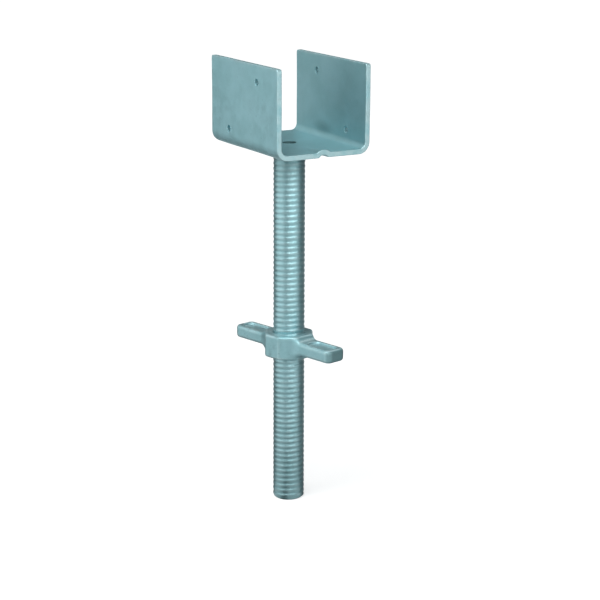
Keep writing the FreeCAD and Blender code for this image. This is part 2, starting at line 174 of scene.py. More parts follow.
class NutSettings(bpy.types.PropertyGroup):
    """Sizes of the wing nut."""
    flats: length("Across flats", "Width of the eight-sided hub", 57.0)
    hub_round: length("Hub rounding", "Blend width on the hub's edges", 3.4)
    span: length("Span", "Length over both lugs", 167.0)
    lug_width: length("Lug width", "Width of a lug", 29.0)
    lug_height: length("Lug height", "Height of a lug", 15.8)
    lug_rise: length("Lug rise", "Height of the lugs' underside over the hub's", 7.6)
    lug_tip: length("Tip radius", "Radius of the lugs' corners in plan", 7.5)
    lug_round: length("Lug rounding", "Blend width on the lugs' edges", 4.6)
    root: length("Root blend", "Blend width where the lugs meet the hub", 8.0)
    recess_run: length("Recess length", "Length of the recess in a lug", 40.0)
    recess_width: length("Recess width", "Width of the recess in a lug", 18.0)
    recess_depth: length("Recess depth", "Depth of the recess in a lug", 3.4)
    recess_rim: length("Recess rim", "Metal left at the lug's end", 5.0)
    clearance: length("Thread clearance", "Gap between the two threads", 0.15)
    # This sets how far the painted shade on each lug's end reaches.
    scuff: length("End scuff", "Length of the scuff on a lug's end", 7.0)
    # This paints a lighter sheen on the upward faces.
    top_rub: share("Top rub", "How far the upward faces are rubbed", 0.7)
    # This paints shade in the corners, weighed against the painted shade on the ends.
    corner_dirt: share("Corner dirt", "Dirt in the corners, against that on the ends", 0.25)
    mouth: length("Bore chamfer", "Chamfer on both mouths of the bore", 0.8)
    turn: angle("Turn", "Angle of the lugs about the spindle", -76.4)
    cell: length("Mesh cell", "Cell of the casting's mesh grid", 0.8)


class ZincSettings(bpy.types.PropertyGroup):
    """Tones of the zinc on the pieces."""
    sheet_bright: colour("Bright sheet", "Lighter tone of the saddle's plating", (0.365, 0.625, 0.675))
    sheet_dull: colour("Dull sheet", "Darker tone of the saddle's plating", (0.31, 0.56, 0.60))
    bright: colour("Bright zinc", "Lighter tone of the other pieces", (0.315, 0.555, 0.60))
    dull: colour("Dull zinc", "Darker tone of the other pieces", (0.265, 0.495, 0.53))
    # The rubbed tone also serves as a painted sheen on the nut's tops and a painted highlight on the
    # saddle's edges.
    rubbed: colour("Rubbed zinc", "Tone of edges rubbed in handling", (0.54, 0.72, 0.74))
    # The stain tone also serves as painted shade in corners, holes, the bore, on the lugs' ends, the
    # saddle's inside and below the weld.
    stain: colour("Darkening", "Tone of the dark smudges", (0.10, 0.19, 0.20))


class StageSettings(bpy.types.PropertyGroup):
    """Camera, floor and room."""
    azimuth: angle("Azimuth", "Camera's direction around the jack", -29.656)
    elevation: angle("Elevation", "Height angle of the camera", 14.6886)
    roll: angle("Roll", "Camera's tilt about its own axis", 0.248)
    distance: length("Distance", "Camera's distance from its aim", 2109.56)
    aim: FloatVectorProperty(
        name="Aim", description="Point at the middle of the picture",
        default=(0.01151, -0.00655, 0.25012), size=3, subtype="TRANSLATION",
    )
    lens: FloatProperty(
        name="Lens", description="Focal length in millimetres", default=105.037, min=1.0, unit="CAMERA"
    )
    floor: colour("Floor", "Colour of the floor", (0.62, 0.63, 0.63))
    room: colour("Room", "Light from the unlit room", (0.09, 0.10, 0.105))


class JackSettings(bpy.types.PropertyGroup):
    """All the settings of the jack."""
    saddle: PointerProperty(type=SaddleSettings)
    spindle: PointerProperty(type=SpindleSettings)
    weld: PointerProperty(type=WeldSettings)
    nut: PointerProperty(type=NutSettings)
    zinc: PointerProperty(type=ZincSettings)
    stage: PointerProperty(type=StageSettings)


# Mesh helpers

def smoothstep(value):
    """Ease a value from 0 to 1."""
    eased = np.clip(value, 0.0, 1.0)
    return eased * eased * (3.0 - 2.0 * eased)


def soft_max(a, b, width):
    """The larger of two distances, rounded where they meet."""
    gap = np.maximum(width - np.abs(a - b), 0) / width
    return np.maximum(a, b) + gap * gap * width / 4


def unit(vectors):
    """Rows of vectors, each brought to length 1."""
    return vectors / np.linalg.norm(vectors, axis=1)[:, None]


def around_axis(radius, turn, height):
    """Points around the spindle's axis at some radii, angles and heights."""
    return np.stack(np.broadcast_arrays(radius * np.cos(turn), radius * np.sin(turn), height), axis=-1)


def loop_quads(first, second):
    """Quads between two loops of point numbers, or between two rows of loops."""
    return np.stack([first, np.roll(first, -1, axis=-1), np.roll(second, -1, axis=-1), second], axis=-1)


def add_object(name, data):
    """A new object in the scene."""
    thing = bpy.data.objects.new(name, data)
    bpy.context.scene.collection.objects.link(thing)
    return thing


def add_piece(name, points, quads, wear_and_sheen, shade_and_dirt, normals=None):
    """A smooth mesh object with masks on its points: wear and painted sheen, and dirt and painted shade."""
    mesh = bpy.data.meshes.new(name)
    mesh.from_pydata(points.reshape(-1, 3).tolist(), [], quads.tolist())
    shell = bmesh.new()
    shell.from_mesh(mesh)
    bmesh.ops.recalc_face_normals(shell, faces=shell.faces)
    shell.to_mesh(mesh)
    shell.free()
    for label, mask in (("wear_and_sheen", wear_and_sheen), ("shade_and_dirt", shade_and_dirt)):
        values = mask.ravel().astype(np.float32)
        mesh.attributes.new(label, "FLOAT", "POINT").data.foreach_set("value", values)
    mesh.shade_smooth()
    if normals is not None:
        mesh.normals_split_custom_set_from_vertices(normals.tolist())
    return add_object(name, mesh)


def add_turned(name, turn, skin, back, wear_and_sheen, shade_and_dirt):
    """A closed piece around the spindle's axis: its skin, which has masks, and its back, painted dark as
    shade.
    """
    points = np.concatenate([around_axis(radius, turn, height) for radius, height in (skin, back)])
    rows, sides = points.shape[:2]
    here = np.arange(rows * sides).reshape(rows, sides)
    quads = loop_quads(here, np.roll(here, -1, axis=0)).reshape(-1, 4)
    unseen = np.ones((rows - len(wear_and_sheen), sides))
    wear_and_sheen = np.concatenate([wear_and_sheen, 0 * unseen])
    return add_piece(name, points, quads, wear_and_sheen, np.concatenate([shade_and_dirt, unseen]))


def finish_piece(piece, node, body, material):
    """Give a piece its material and put it in place of a CAD node."""
    piece.data.materials.append(material)
    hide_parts(node)
    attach(piece, body)


# Saddle

# Mesh steps across a fold, half of a bead, a corner and half of a rim
FOLD_STEPS = 9
BEAD_STEPS = 12
CORNER_STEPS = 3
RIM_STEPS = 5
# Shares of the way from the square patch around a hole to its rim
HOLE_STEPS = (0.45, 0.75, 0.92, 1.0)
# Half of that patch, in radii of the hole
HOLE_PATCH = 2.0
# Share of a step by which a cell may be too wide
STEP_SLACK = 0.001
# Wear on the faces beside the sheared edges, partly a painted highlight there, and how far it reaches
EDGE_WEAR_AND_SHEEN = 0.7
EDGE_FADE = 1.2 * MM
# Painted shade on the walls of the fixing holes and of the drain
FIXING_SHADE = 0.15
DRAIN_SHADE = 1.0
# Weight of the large faces in the shading beside the folds, where 50 is even
FLAT_WEIGHT = 60


class Layer(NamedTuple):
    """Points of the flat blank at one offset from its middle layer, with their wear and painted highlight,
    and their painted shade and dark patch.
    """
    flat: np.ndarray
    offset: float
    wear_and_sheen: np.ndarray | float
    dirt: np.ndarray | float


def blank_sizes(saddle):
    """Distances from the blank's middle to a fold's start, its end and the flange's edge."""
    half_flat = saddle.width / 2 - saddle.gauge - saddle.bend
    fold_end = half_flat + (saddle.bend + saddle.gauge / 2) * math.pi / 2
    return half_flat, fold_end, fold_end + saddle.height - saddle.gauge - saddle.bend


def saddle_holes(saddle):
    """The holes in the blank, as (centre, radius, half of the patch), the drain last."""
    foot = blank_sizes(saddle)[1] - saddle.gauge - saddle.bend
    places = ((saddle.low_height, -saddle.low_offset), (saddle.high_height, saddle.high_offset))
    holes = []
    for side in (-1, 1):
        for height, offset in places:
            centre = np.array([side * (foot + height), side * offset])
            holes.append((centre, saddle.fixing + saddle.hole_rim, HOLE_PATCH * saddle.fixing))
    holes.append((np.zeros(2), saddle.drain + saddle.hole_rim, HOLE_PATCH * saddle.drain))
    return holes


def grid_lines(limit, stops, step):
    """Values from -limit to limit with every stop on both sides, at most one step apart."""
    marks = sorted({round(side * stop, 9) for stop in (limit, *stops) for side in (-1, 1)})
    lines = [marks[0]]
    for start, end in zip(marks, marks[1:]):
        count = max(1, math.ceil((end - start) / step - STEP_SLACK))
        lines.extend(start + (end - start) * (k + 1) / count for k in range(count))
    return np.array(lines)


def blank_lines(saddle, limits, holes):
    """Grid lines of the blank across and along, with stops at its folds, beads, corners and holes."""
    half_flat, fold_end, _ = blank_sizes(saddle)
    bead_half = math.sqrt(2 * saddle.bead_radius * saddle.bead_rise) + saddle.bead_blend
    across = [half_flat + (fold_end - half_flat) * k / FOLD_STEPS for k in range(FOLD_STEPS + 1)]
    across += [bead_half * (k + 1) / BEAD_STEPS for k in range(BEAD_STEPS)]
    lines = []
    for axis, stops in enumerate((across, [])):
        stops += [limits[axis] - saddle.corner * k / CORNER_STEPS for k in range(CORNER_STEPS + 1)]
        stops += [centre[axis] + side * half for centre, _, half in holes for side in (-1, 1)]
        lines.append(grid_lines(limits[axis], stops, saddle.step))
    return lines


def round_corners(points, limits, radius):
    """Pull the square corners of a grid of points on to arcs."""
    inner = np.array(limits) - radius
    into = np.abs(points) - inner
    chosen = (into > 0).all(axis=1)
    part = into[chosen]
    scale = part.max(axis=1) / np.hypot(part[:, 0], part[:, 1])
    points[chosen] = np.sign(points[chosen]) * (inner + part * scale[:, None])


def border(index):
    """The loop of point numbers around a grid of them."""
    return np.concatenate([index[:-1, 0], index[-1, :-1], index[:0:-1, -1], index[0, :0:-1]])


def pierced_blank(u_lines, v_lines, corner, holes):
    """Points and quads of a flat blank, and each rim as its loop of points and their outward directions."""
    grid = np.stack(np.meshgrid(u_lines, v_lines, indexing="ij"), axis=-1)
    points = grid.reshape(-1, 2).copy()
    round_corners(points, (u_lines[-1], v_lines[-1]), corner)
    index = np.arange(len(points)).reshape(len(u_lines), len(v_lines))
    kept = np.ones((len(u_lines) - 1, len(v_lines) - 1), bool)
    quads, rims = [], []
    for centre, radius, half in holes:
        i0, i1 = (int(np.abs(u_lines - centre[0] - side * half).argmin()) for side in (-1, 1))
        j0, j1 = (int(np.abs(v_lines - centre[1] - side * half).argmin()) for side in (-1, 1))
        kept[i0:i1, j0:j1] = False
        loop = border(index[i0:i1 + 1, j0:j1 + 1])
        start = points[loop]
        away = unit(start - centre)
        way = centre + radius * away - start
        for step in HOLE_STEPS:
            new = np.arange(len(loop)) + len(points)
            points = np.concatenate([points, start + way * step])
            quads.append(loop_quads(loop, new))
            loop = new
        rims.append((loop, -away))
    cells = np.stack([index[:-1, :-1], index[1:, :-1], index[1:, 1:], index[:-1, 1:]], axis=-1)
    quads.append(cells[kept])
    edge = border(index)
    along = points[np.roll(edge, -1)] - points[np.roll(edge, 1)]
    rims.append((edge, unit(np.stack([along[:, 1], -along[:, 0]], axis=-1))))
    used, quads = np.unique(np.concatenate(quads), return_inverse=True)
    rims = [(np.searchsorted(used, loop), out) for loop, out in rims]
    return points[used], quads.reshape(-1, 4), rims


def plate_waves(u, v):
    """Slight waves over the flat blank. Their wave numbers are in radians per metre."""
    broad = np.sin(41 * u + 1.3 * np.sin(37 * v))
    crossing = 0.7 * np.sin(58 * v - 23 * u + 0.8)
    fine = 0.4 * np.sin(97 * u + 71 * v)
    return broad + crossing + fine


def fold_blank(saddle, flat, offset):
    """Bend points, at an offset inwards from the flat blank's middle layer, into the saddle."""
    u, v = flat[:, 0], flat[:, 1]
    half_flat, fold_end, _ = blank_sizes(saddle)
    neutral = saddle.bend + saddle.gauge / 2
    reach = np.abs(u)
    bent = np.clip((reach - half_flat) / neutral, 0, math.pi / 2)
    climb = np.maximum(reach - fold_end, 0)
    radius = neutral - offset - saddle.ripple * plate_waves(u, v)
    x = np.sign(u) * (np.minimum(reach, half_flat) + radius * np.sin(bent))
    z = SADDLE_LOW.z + saddle.gauge + saddle.bend - radius * np.cos(bent) + climb
    fade = np.clip((np.abs(v) - saddle.run / 2 + saddle.bead_run) / saddle.bead_run, 0, 1)
    crown = saddle.bead_radius - saddle.gauge / 2 + offset
    lift = np.sqrt(np.maximum(crown ** 2 - u ** 2, 0)) - crown
    lift += saddle.bead_rise * fade - saddle.bead_blend * (1 - fade)
    z += soft_max(lift, 0.0, saddle.bead_blend)
    return np.stack([x, v, z], axis=-1)


def rim_profile(half, radius):
    """Pairs of outward step and offset around a sheet's rounded rim, from one face to the other."""
    turn = np.linspace(0, math.pi / 2, RIM_STEPS + 1)
    out, offset = radius * np.sin(turn), half - radius + radius * np.cos(turn)
    pairs = [*zip(out, offset), *zip(out[::-1], -offset[::-1])]
    return pairs[1:-1]


def inside_shade(saddle, flat):
    """Painted shade on the inside, a little all over, and a soft dark patch at the foot of the right flange.
    """
    up = (flat[:, 0] - blank_sizes(saddle)[1] - saddle.stain_rise) / saddle.stain_height
    along = (flat[:, 1] - saddle.stain_offset) / saddle.stain_run
    return np.maximum(saddle.inside_shade, saddle.stain * np.exp(-up ** 2 - along ** 2))


def build_saddle(saddle):
    """The folded plate with its holes, beads and rounded rims."""
    limits = np.array([blank_sizes(saddle)[2], saddle.run / 2]) - saddle.rim
    holes = saddle_holes(saddle)
    u_lines, v_lines = blank_lines(saddle, limits, holes)
    flat, quads, rims = pierced_blank(u_lines, v_lines, saddle.corner - saddle.rim, holes)
    half = saddle.gauge / 2
    edge = np.maximum((limits - np.abs(flat)).min(axis=1), 0)
    # The lighter tone beside the rims is partly wear and partly a painted highlight on the sheared edges.
    rubbed = EDGE_WEAR_AND_SHEEN * np.exp(-edge / EDGE_FADE)
    layers = [Layer(flat, half, rubbed, inside_shade(saddle, flat)), Layer(flat, -half, rubbed, 0.0)]
    faces = [quads, quads[:, ::-1] + len(flat)]
    total = 2 * len(flat)
    finishes = [(saddle.hole_rim, 0.0, FIXING_SHADE)] * (len(holes) - 1)
    finishes += [(saddle.hole_rim, 0.0, DRAIN_SHADE), (saddle.rim, 1.0, 0.0)]
    for (loop, out), (rounding, wear_and_sheen, dirt) in zip(rims, finishes):
        previous = loop
        for step, offset in rim_profile(half, rounding):
            layers.append(Layer(flat[loop] + out * step, offset, wear_and_sheen, dirt))
            new = np.arange(len(loop)) + total
            faces.append(loop_quads(previous, new))
            previous = new
            total += len(loop)
        faces.append(loop_quads(previous, loop + len(flat)))
    points = np.concatenate([fold_blank(saddle, layer.flat, layer.offset) for layer in layers])
    wear_and_sheen = np.concatenate([np.broadcast_to(layer.wear_and_sheen, len(layer.flat)) for layer in layers])
    dirt = np.concatenate([np.broadcast_to(layer.dirt, len(layer.flat)) for layer in layers])
    piece = add_piece("folded_saddle", points, np.concatenate(faces), wear_and_sheen, dirt)
    piece.modifiers.new("even_flats", "WEIGHTED_NORMAL").weight = FLAT_WEIGHT
    return piece


# Spindle and weld

# Mesh steps down the bore, across the weld and in one of its ripples
BORE_STEPS = 40
WELD_STEPS = 12
RIPPLE_STEPS = 6
# Waves in the weld's width, as (share, waves around the weld, phase)
WANDER_WAVES = ((1.0, 5, 0.7), (0.6, 11, 2.1), (0.5, 23, 0.3))
# How far a ripple's middle trails its ends, in radians of a ripple
RIPPLE_LAG = 2.4
# Unevenness of the ripples' spacing, and its waves around the weld
PACE = 0.8
PACE_WAVES = 3
# Roundness of the ripples, and their middle height
RIPPLE_POWER = 0.6
RIPPLE_MIDDLE = 0.6
# Height of the weld against its width
WELD_SLOPE = 0.9
# How far the weld's skin and its back reach into the spindle
SKIN_SINK = 0.3 * MM
BACK_SINK = 0.8 * MM
# How closely dirt keeps to the weld's two toes
TOE_POWER = 3


def thread_groove(thread, turn, height):
    """How deep the thread is cut at a place: 0 on a crest, 1 in a root."""
    wave = np.cos(TURN * (height - thread.start) / thread.pitch - turn)
    return 0.5 - 0.5 * np.tanh(thread.squareness * wave) / math.tanh(thread.squareness)


def build_spindle(spindle):
    """The threaded tube, with its bore."""
    top, bottom = SPINDLE_HIGH.z, SPINDLE_LOW.z
    count = math.ceil((top - bottom) / spindle.pitch * spindle.rows)
    height = np.linspace(bottom, top, count + 1)[:, None]
    turn = np.linspace(0, TURN, spindle.sides, endpoint=False)[None, :]
    below_weld, above_end = WELD_LOW.z - height, height - bottom
    groove = thread_groove(spindle, turn, height) * smoothstep(below_weld / spindle.runout)
    chamfered = spindle.crest - spindle.chamfer + above_end
    outer = np.minimum(spindle.crest - spindle.depth * groove, chamfered)
    level = np.append(np.linspace(top, bottom + spindle.bore_chamfer, BORE_STEPS + 1), bottom)[:, None]
    inner = np.where(level > bottom, spindle.bore, spindle.bore + spindle.bore_chamfer)
    # Painted shade that fades down from the weld, and a darker band just above the lower end
    darkened_ends = 1 - smoothstep(np.minimum(below_weld / spindle.upper_grime, above_end / spindle.lower_grime))
    darkened_ends = np.broadcast_to(darkened_ends, groove.shape)
    return add_turned("threaded_spindle", turn, (outer, height), (inner, level), 1 - groove, darkened_ends)


def build_weld(weld, crest):
    """The rippled fillet weld around the spindle's upper end."""
    sides = weld.ripples * RIPPLE_STEPS
    turn = np.linspace(0, TURN, sides, endpoint=False)
    across = np.linspace(0, 1, WELD_STEPS + 1)[:, None]
    bulge = np.sin(math.pi * across)
    drift = sum(part * np.sin(waves * turn + phase) for part, waves, phase in WANDER_WAVES) / 2
    leg = weld.leg - weld.wander + weld.wander * drift
    beat = weld.ripples * turn + RIPPLE_LAG * bulge + PACE * np.sin(PACE_WAVES * turn)
    scallop = np.abs(np.sin(beat / 2)) ** RIPPLE_POWER
    swell = weld.crown * bulge + weld.scale * (scallop - RIPPLE_MIDDLE) * np.sqrt(bulge)
    out = crest - SKIN_SINK + across * leg + swell * SLANT
    level = WELD_HIGH.z - (1 - across) * leg * WELD_SLOPE - swell * SLANT
    back = np.stack([np.full(sides, WELD_HIGH.z), level[0]])
    toes = np.maximum(1 - scallop, (1 - bulge) ** TOE_POWER)
    return add_turned("weld_ring", turn, (out, level), (crest - BACK_SINK, back), scallop * bulge, toes)


# Wing nut

# Slope of the recess's sides, and blend widths at its floor, at its rim and at the bore's mouths
RECESS_DRAFT = 0.25
RECESS_FLOOR_BLEND = 3.0 * MM
RECESS_RIM_BLEND = 1.6 * MM
MOUTH_BLEND = 0.8 * MM
# Cells of the grid left free around the casting
NET_MARGIN = 2
# Passes that bring the mesh on to the skin, and the least squared slope that they reckon with
SETTLE_PASSES = 5
LEAST_SLOPE = 0.2
# Reach of the slopes taken for those passes, for the normals and for finding the edges
SETTLE_REACH = 0.05 * MM
NORMAL_REACH = 0.12 * MM
BEND_REACH = 1.2 * MM
# Radii that turn a bend into wear on the edges and painted shade in the corners, and the bend that is left
# clean
EDGE_RADIUS = 2.2 * MM
CORNER_RADIUS = 3.0 * MM
CLEAN_BEND = 0.15
# Upward part of a normal at which a face begins to count as a top, which gets a painted sheen, and the rest
# until it does so fully
TOP_START = 0.6
TOP_RANGE = 0.3


def hub_distance(nut, ax, ay, z):
    """Distance from the eight-sided hub."""
    apothem = nut.flats / 2
    hub = soft_max(ax - apothem, ay - apothem, nut.hub_round / 2)
    hub = soft_max(hub, (ax + ay) * SLANT - apothem, nut.hub_round / 2)
    return soft_max(hub, np.abs(z - NUT_HEIGHT / 2) - NUT_HEIGHT / 2, nut.hub_round)


def lug_distance(nut, ax, ay, z):
    """Distance from the lugs, as one bar through the hub."""
    qx = ax - nut.span / 2 + nut.lug_tip
    qy = ay - nut.lug_width / 2 + nut.lug_tip
    corner = np.hypot(np.maximum(qx, 0), np.maximum(qy, 0))
    plan = corner + np.minimum(np.maximum(qx, qy), 0) - nut.lug_tip
    middle = nut.lug_rise + nut.lug_height / 2
    return soft_max(plan, np.abs(z - middle) - nut.lug_height / 2, nut.lug_round)


def recess_distance(nut, ax, ay, z):
    """Distance from the recesses in the lugs' tops, which widen upwards."""
    wide = nut.recess_width / 2
    middle = nut.span / 2 - nut.recess_rim - nut.recess_run / 2
    away = np.maximum(np.abs(ax - middle) - nut.recess_run / 2 + wide, 0)
    top = nut.lug_rise + nut.lug_height
    sides = np.hypot(away, ay) - wide - RECESS_DRAFT * (z - top)
    return soft_max(sides, top - nut.recess_depth - z, RECESS_FLOOR_BLEND)


def bore_depth(nut, thread, x, y, z):
    """Depth inside the threaded bore, which has a chamfer at both mouths."""
    groove = thread_groove(thread, np.arctan2(y, x) + nut.turn, z + NUT_LOW.z)
    radius = thread.crest - thread.depth * groove + nut.clearance
    mouth = thread.crest + nut.mouth
    radius = np.maximum(radius, np.maximum(mouth - z, mouth + z - NUT_HEIGHT))
    return radius - np.hypot(x, y)


def nut_distance(nut, thread, p):
    """Signed distance from the casting's skin, in the nut's own frame, lugs along X."""
    x, y, z = p[..., 0], p[..., 1], p[..., 2]
    ax, ay = np.abs(x), np.abs(y)
    body = -soft_max(-hub_distance(nut, ax, ay, z), -lug_distance(nut, ax, ay, z), nut.root)
    body = soft_max(body, -recess_distance(nut, ax, ay, z), RECESS_RIM_BLEND)
    return soft_max(body, bore_depth(nut, thread, x, y, z), MOUTH_BLEND)


def surface_net(distance, low, high, cell):
    """Points and quads of the surface where a distance is 0, one point in each cell that it crosses."""
    margin = NET_MARGIN * cell
    axes = [np.arange(a - margin, b + margin + cell / 2, cell) for a, b in zip(low, high)]
    grid = np.stack(np.meshgrid(*axes, indexing="ij"), axis=-1)
    inside = distance(grid) < 0
    nx, ny, nz = inside.shape
    corners = [
        inside[i:nx - 1 + i, j:ny - 1 + j, k:nz - 1 + k].astype(np.int8)
        for i, j, k in product((0, 1), repeat=3)
    ]
    count = sum(corners)
    crossed = (count > 0) & (count < len(corners))
    number = np.full(crossed.shape, -1)
    number[crossed] = np.arange(crossed.sum())
    points = grid[:-1, :-1, :-1][crossed] + cell / 2
    quads = []
    for axis in range(3):
        first = np.take(inside, np.arange(inside.shape[axis] - 1), axis)
        second = np.take(inside, np.arange(1, inside.shape[axis]), axis)
        places = np.argwhere(first != second)
        b, c = (axis + 1) % 3, (axis + 2) % 3
        step_b, step_c = np.eye(3, dtype=int)[b], np.eye(3, dtype=int)[c]
        around = [places - step_b - step_c, places - step_c, places, places - step_b]
        loop = np.stack([number[tuple(cells.T)] for cells in around], axis=-1)
        leaves = first[tuple(places.T)]
        loop[~leaves] = loop[~leaves][:, ::-1]
        quads.append(loop)
    return points, np.concatenate(quads)


def slope(distance, points, reach):
    """A distance at some points, with its gradient and its summed second differences."""
    middle = distance(points)
    gradient, bend = np.zeros_like(points), np.zeros(len(points))
    for axis in range(3):
        step = np.eye(3)[axis] * reach
        ahead, behind = distance(points + step), distance(points - step)
        gradient[:, axis] = (ahead - behind) / (2 * reach)
        bend += (ahead + behind - 2 * middle) / reach ** 2
    return middle, gradient, bend


def nut_masks(nut, points, normals, bend):
    """Wear on the casting's edges, a painted sheen on its tops, and painted shade in its corners and on the
    lugs' ends.
    """
    edges = np.clip(bend * EDGE_RADIUS - CLEAN_BEND, 0, 1)
    corners = np.clip(-bend * CORNER_RADIUS - CLEAN_BEND, 0, 1)
    # Upward faces get a painted sheen; corners and the lugs' ends get painted shade.
    lit_tops = smoothstep((normals[:, 2] - TOP_START) / TOP_RANGE)
    shaded_ends = smoothstep((np.abs(points[:, 0]) - nut.span / 2 + nut.scuff) / nut.scuff) * (1 - lit_tops)
    wear_and_sheen = np.maximum(edges, nut.top_rub * lit_tops) * (1 - shaded_ends)
    return wear_and_sheen, np.maximum(nut.corner_dirt * corners, shaded_ends)


def build_nut(nut, thread):
    """The cast hub and lugs in one skin, with a thread in the bore."""
    distance = partial(nut_distance, nut, thread)
    half = np.array([nut.span / 2, nut.flats / 2, 0.0])
    points, quads = surface_net(distance, -half, half + (0.0, 0.0, NUT_HEIGHT), nut.cell)
    for _ in range(SETTLE_PASSES):
        middle, gradient, _ = slope(distance, points, SETTLE_REACH)
        squared = np.maximum((gradient ** 2).sum(axis=1), LEAST_SLOPE)
        move = np.clip(middle / squared, -nut.cell, nut.cell)
        points = points - gradient * move[:, None]
    _, gradient, _ = slope(distance, points, NORMAL_REACH)
    _, _, bend = slope(distance, points, BEND_REACH)
    normals = unit(gradient)
    wear_and_sheen, shade_and_dirt = nut_masks(nut, points, normals, bend)
    spin = np.array(Matrix.Rotation(nut.turn, 3, "Z"))
    placed = points @ spin.T + (0.0, 0.0, NUT_LOW.z)
    return add_piece("cast_wing_nut", placed, quads, wear_and_sheen, shade_and_dirt, normals @ spin.T)


# Shader helpers

# Numbers of a Mix node's colour sockets, whose names it uses more than once
MIX_FIRST, MIX_SECOND, MIX_RESULT = 6, 7, 2


def opaque(tone):
    """A colour with full alpha, as a colour socket takes it."""
    return (*tone, 1.0)


def feed(tree, sockets, values):
    """Set input sockets, by name or number, to fixed values or link other sockets to them."""
    for label, value in values.items():
        if isinstance(value, bpy.types.NodeSocket):
            tree.links.new(value, sockets[label])
        else:
            sockets[label].default_value = value


def add_node(tree, kind, values=None, **options):
    """The outputs of a new node with its options set and its inputs fed."""
    node = tree.nodes.new("ShaderNode" + kind)
    for option, value in options.items():
        setattr(node, option, value)
    feed(tree, node.inputs, values or {})
    return node.outputs


def add_noise(tree, place, scale, detail, roughness, distortion=0.0):
    """A noise texture."""
    return add_node(tree, "TexNoise", {
        "Vector": place, "Scale": scale, "Detail": detail, "Roughness": roughness, "Distortion": distortion,
    })["Fac"]


def add_range(tree, value, low, high, to_low=0.0, to_high=1.0):
    """Map a value from one range to another, eased and kept inside."""
    return add_node(tree, "MapRange", {
        "Value": value, "From Min": low, "From Max": high, "To Min": to_low, "To Max": to_high,
    }, interpolation_type="SMOOTHSTEP")["Result"]


def add_math(tree, operation, first, second):
    """A sum, product or the like of two sockets or numbers."""
    return add_node(tree, "Math", {0: first, 1: second}, operation=operation)["Value"]


def add_mix(tree, factor, first, second):
    """A colour mixed from two colour sockets."""
    values = {"Factor": factor, MIX_FIRST: first, MIX_SECOND: second}
    return add_node(tree, "Mix", values, data_type="RGBA")[MIX_RESULT]


# Shader node groups

# Share of the broad clouds in the tone, and how much finer the mottle is than the clouds
CLOUD_SHARE = 0.7
MOTTLE_SCALE = 6.5
# How much smoother a rubbed place is, and how much rougher a dirty one
RUBBED_SMOOTH = 0.1
DIRT_ROUGH = 0.15
# How much finer the specks are than the smudges
SPECK_SCALE = 9.0
# Sockets that every group gives and two of them take
SURFACE = {"Color": "Color", "Roughness": "Float"}


def new_group(name, inputs, outputs):
    """An empty shader group with its sockets, given as names and kinds."""
    tree = bpy.data.node_groups.new(name, "ShaderNodeTree")
    for way, sockets in (("INPUT", inputs), ("OUTPUT", outputs)):
        for label, kind in sockets.items():
            tree.interface.new_socket(label, in_out=way, socket_type="NodeSocket" + kind)
    return tree, tree.nodes.new("NodeGroupInput").outputs, tree.nodes.new("NodeGroupOutput").inputs


def zinc_coat():
    """Cloudy tone, uneven gloss and fine grain of zinc plating."""
    tree, given, made = new_group(
        "zinc_coat",
        {"Bright": "Color", "Dull": "Color", "Cloud scale": "Float", "Grain scale": "Float",
         "Gloss": "Float", "Gloss spread": "Float"},
        {**SURFACE, "Grain": "Float"},
    )
    place = add_node(tree, "TexCoord")["Object"]
    cloud = add_noise(tree, place, given["Cloud scale"], detail=4.0, roughness=0.55, distortion=0.4)
    mottle_scale = add_math(tree, "MULTIPLY", given["Cloud scale"], MOTTLE_SCALE)
    mottle = add_noise(tree, place, mottle_scale, detail=3.0, roughness=0.6)
    grain = add_noise(tree, place, given["Grain scale"], detail=4.0, roughness=0.6)
    broad = add_math(tree, "MULTIPLY", cloud, CLOUD_SHARE)
    small = add_math(tree, "MULTIPLY", mottle, 1 - CLOUD_SHARE)
    tone = add_range(tree, add_math(tree, "ADD", broad, small), low=0.34, high=0.66)
    uneven = add_math(tree, "SUBTRACT", add_math(tree, "ADD", mottle, grain), 1.0)
    rough = add_math(tree, "MULTIPLY", uneven, given["Gloss spread"])
    feed(tree, made, {
        "Color": add_mix(tree, tone, given["Dull"], given["Bright"]),
        "Roughness": add_math(tree, "ADD", given["Gloss"], rough),
        "Grain": grain,
    })
    return tree


def rubbed_edges_and_sheen():
    """Lighter, smoother metal where handling has rubbed the edges and crests, and a painted sheen on the
    nut's tops and a painted highlight on the saddle's edges.
    """
    tree, given, made = new_group(
        "rubbed_edges_and_sheen",
        {**SURFACE, "Rubbed": "Color", "Amount": "Float", "Patch scale": "Float"},
        SURFACE,
    )
    place = add_node(tree, "TexCoord")["Object"]
    mask = add_node(tree, "Attribute", attribute_name="wear_and_sheen")["Fac"]
    patch = add_noise(tree, place, given["Patch scale"], detail=3.0, roughness=0.6)
    worn = add_math(tree, "MULTIPLY", mask, add_range(tree, patch, low=0.3, high=0.6))
    worn = add_math(tree, "MULTIPLY", worn, given["Amount"])
    smooth = add_math(tree, "MULTIPLY", worn, RUBBED_SMOOTH)
    feed(tree, made, {
        "Color": add_mix(tree, worn, given["Color"], given["Rubbed"]),
        "Roughness": add_math(tree, "SUBTRACT", given["Roughness"], smooth),
    })
    return tree


